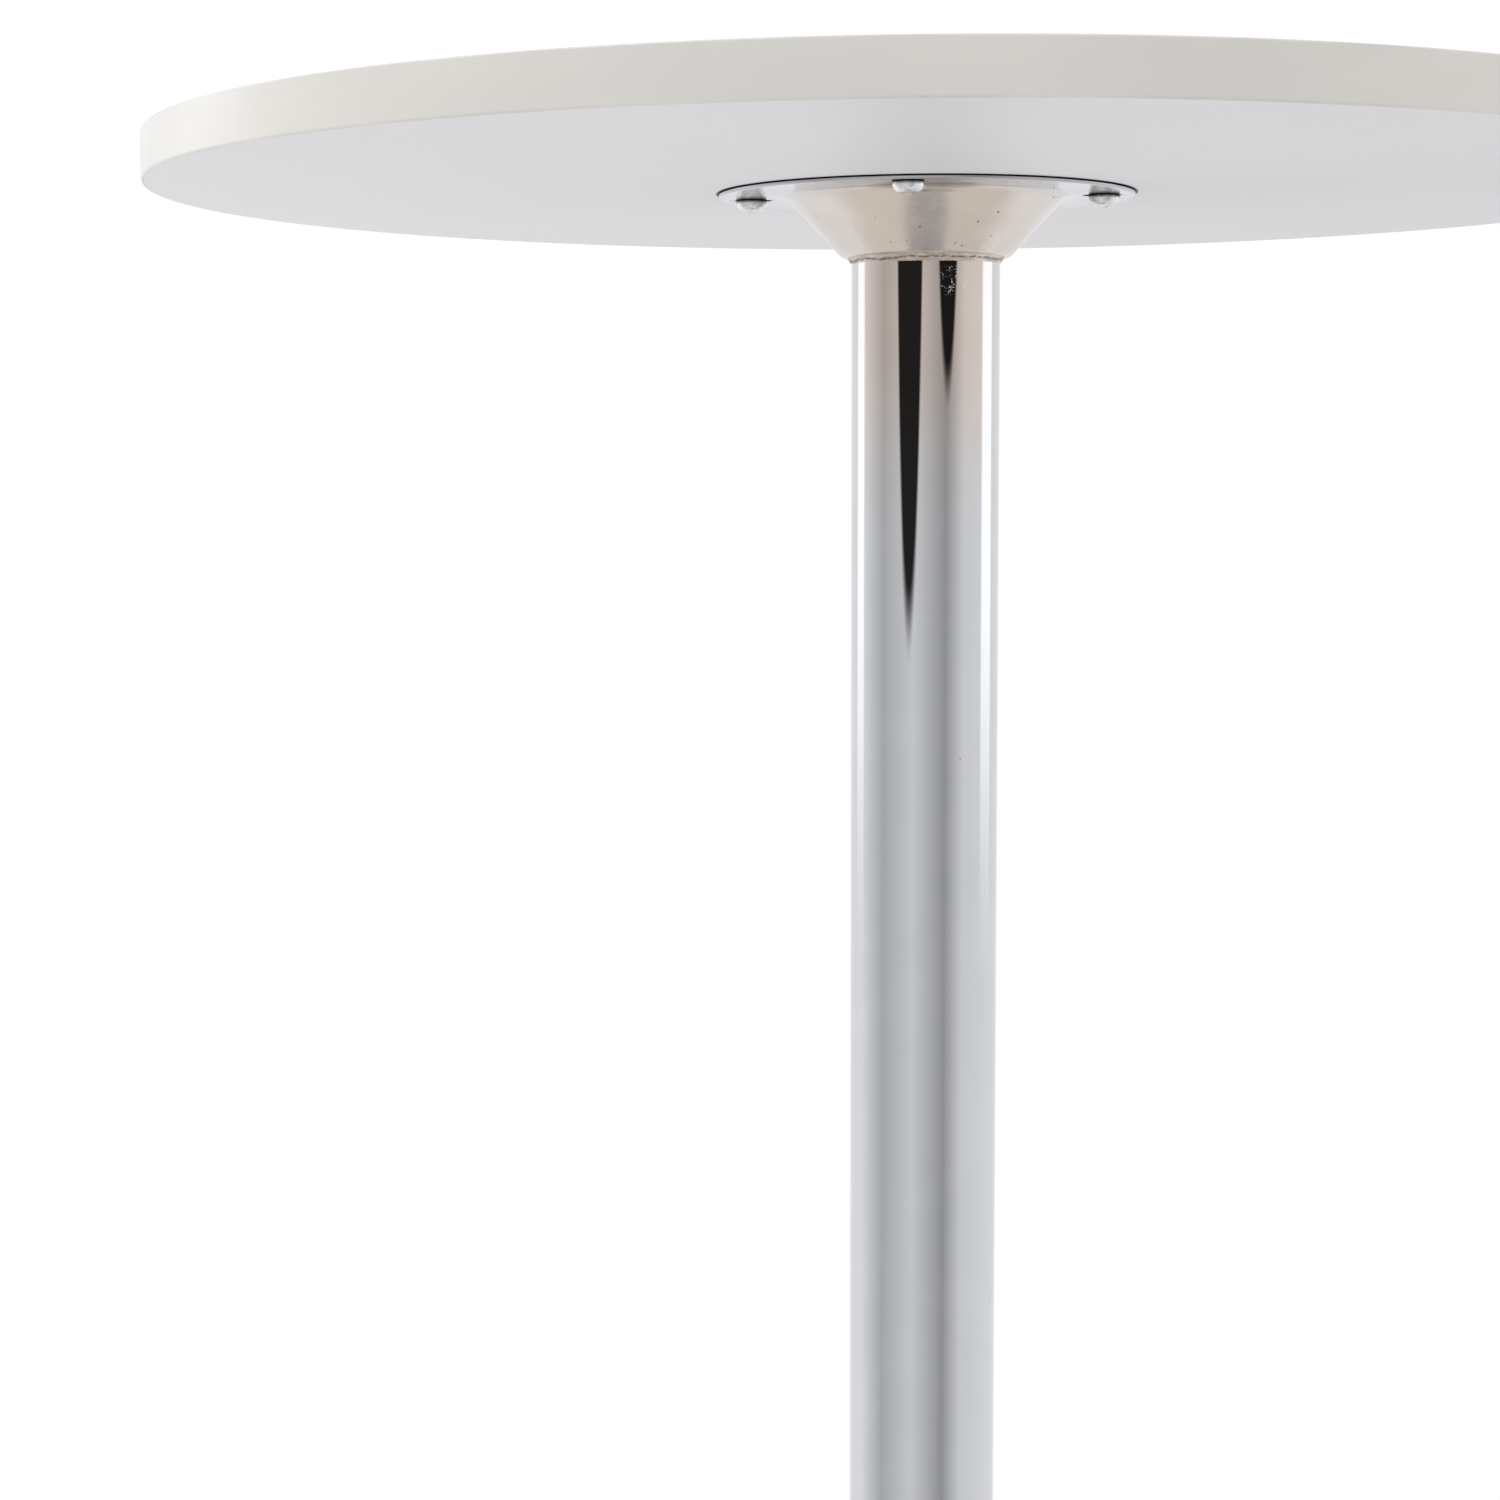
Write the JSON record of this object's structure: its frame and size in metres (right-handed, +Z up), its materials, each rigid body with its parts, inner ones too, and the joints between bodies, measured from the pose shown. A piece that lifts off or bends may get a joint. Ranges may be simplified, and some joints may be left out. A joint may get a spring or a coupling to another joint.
{
  "type": "bistro table",
  "caption": "Bar-height round pedestal table: white laminated top on a screwed chrome flange, chrome pole and trumpet base with levelling glides.",
  "frame": {"origin": "centre of the footprint on the floor, under the pole's axis", "axes": "+Z up along the pole to the tabletop, -Y is the front"},
  "size_m": [0.5999, 0.6, 1.05],
  "materials": {
    "board_core": "raw fibreboard",
    "white_laminate": "satin melamine",
    "edge_band": "satin, slightly warmer than the laminate",
    "insert_brass": "turned",
    "chrome": "polished chrome plate",
    "zinc_steel": "bright zinc plate",
    "weld": "plated over, rough",
    "bare_steel": "oiled",
    "black_rubber": "matt",
    "cast_iron": "black painted casting",
    "black_plastic": "moulded polyethylene"
  },
  "bodies": {
    "table": {"top_core": "board_core", "top_laminate": "white_laminate", "underside_laminate": "white_laminate", "edge_band": "edge_band", "threaded_inserts": "insert_brass", "top_flange": "chrome", "flange_screws": "zinc_steel", "flange_weld": "weld", "pole": "chrome", "pole_plug": "bare_steel", "plug_weld": "weld", "neck_gasket": "black_rubber", "base_shell": "chrome", "rim_trim": "black_rubber", "spacer_tube": "bare_steel", "ballast": "cast_iron", "clamp_washer": "zinc_steel", "spring_washer": "zinc_steel", "centre_bolt": "zinc_steel", "glide_bushes": "insert_brass"},
    "pad_1": {"glide_pad_1": "black_plastic"},
    "pad_2": {"glide_pad_2": "black_plastic"},
    "pad_3": {"glide_pad_3": "black_plastic"},
    "pad_4": {"glide_pad_4": "black_plastic"},
    "stem_1": {"glide_stem_1": "zinc_steel"},
    "stem_2": {"glide_stem_2": "zinc_steel"},
    "stem_3": {"glide_stem_3": "zinc_steel"},
    "stem_4": {"glide_stem_4": "zinc_steel"}
  },
  "joints": [
    {"name": "glide_lift_1", "type": "slide", "parent": "table", "child": "pad_1", "axis": [0, 0, -1], "range_m": [0, 0.01]},
    {"name": "glide_lift_2", "type": "slide", "parent": "table", "child": "pad_2", "axis": [0, 0, -1], "range_m": [0, 0.01]},
    {"name": "glide_lift_3", "type": "slide", "parent": "table", "child": "pad_3", "axis": [0, 0, -1], "range_m": [0, 0.01]},
    {"name": "glide_lift_4", "type": "slide", "parent": "table", "child": "pad_4", "axis": [0, 0, -1], "range_m": [0, 0.01]},
    {"name": "glide_turn_1", "type": "hinge", "parent": "pad_1", "child": "stem_1", "pos_m": [0.11667, 0.11667, 0.01], "axis": [0, 0, -1], "range_deg": [0, 2880]},
    {"name": "glide_turn_2", "type": "hinge", "parent": "pad_2", "child": "stem_2", "pos_m": [-0.11667, 0.11667, 0.01], "axis": [0, 0, -1], "range_deg": [0, 2880]},
    {"name": "glide_turn_3", "type": "hinge", "parent": "pad_3", "child": "stem_3", "pos_m": [-0.11667, -0.11667, 0.01], "axis": [0, 0, -1], "range_deg": [0, 2880]},
    {"name": "glide_turn_4", "type": "hinge", "parent": "pad_4", "child": "stem_4", "pos_m": [0.11667, -0.11667, 0.01], "axis": [0, 0, -1], "range_deg": [0, 2880]}
  ],
  "couplings": [
    {"joint": "glide_turn_1", "follows": "glide_lift_1", "rad_per_m": 5026.5},
    {"joint": "glide_turn_2", "follows": "glide_lift_2", "rad_per_m": 5026.5},
    {"joint": "glide_turn_3", "follows": "glide_lift_3", "rad_per_m": 5026.5},
    {"joint": "glide_turn_4", "follows": "glide_lift_4", "rad_per_m": 5026.5}
  ]
}
